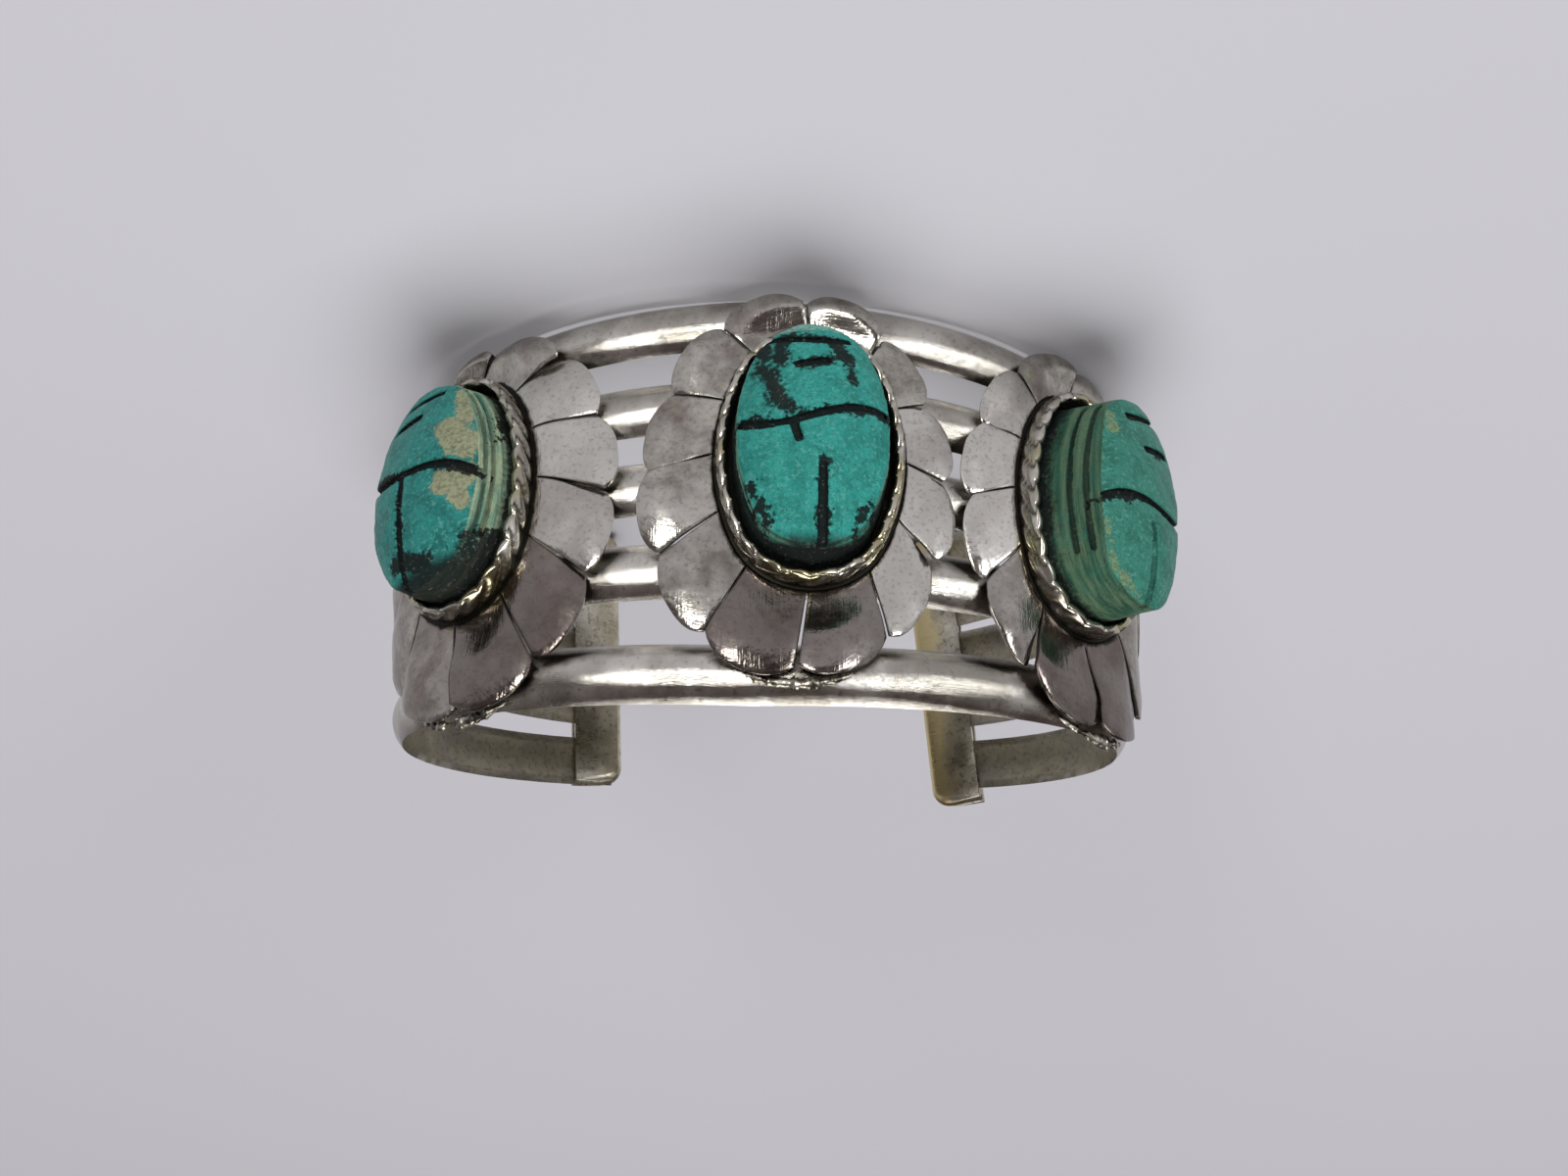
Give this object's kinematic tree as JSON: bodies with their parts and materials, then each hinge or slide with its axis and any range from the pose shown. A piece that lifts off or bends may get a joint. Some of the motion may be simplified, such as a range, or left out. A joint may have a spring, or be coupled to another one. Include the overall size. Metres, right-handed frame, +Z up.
{
  "type": "cuff bracelet",
  "caption": "Open metal cuff bracelet of half-round strips soldered into folded end caps, with petalled flower plates that hold carved scarab stones in twisted wire collars",
  "frame": {"origin": "Centre of the bounding box at its underside: the cuff lies on its back edge, on the top of its back strip and on the back edges of its two end caps", "axes": "+X across the wrist opening, towards the left flower; +Y from the stones to the gap between the end caps; +Z up, out of the opening's front side"},
  "size_m": [0.0754, 0.0498, 0.0419],
  "materials": {
    "silver": "polished",
    "turquoise_glaze": "satin"
  },
  "bodies": {
    "root": {"cuff": "silver", "flower_left": "silver", "flower_centre": "silver", "flower_right": "silver", "scarab_left": "turquoise_glaze", "scarab_centre": "turquoise_glaze", "scarab_right": "turquoise_glaze"}
  },
  "joints": []
}
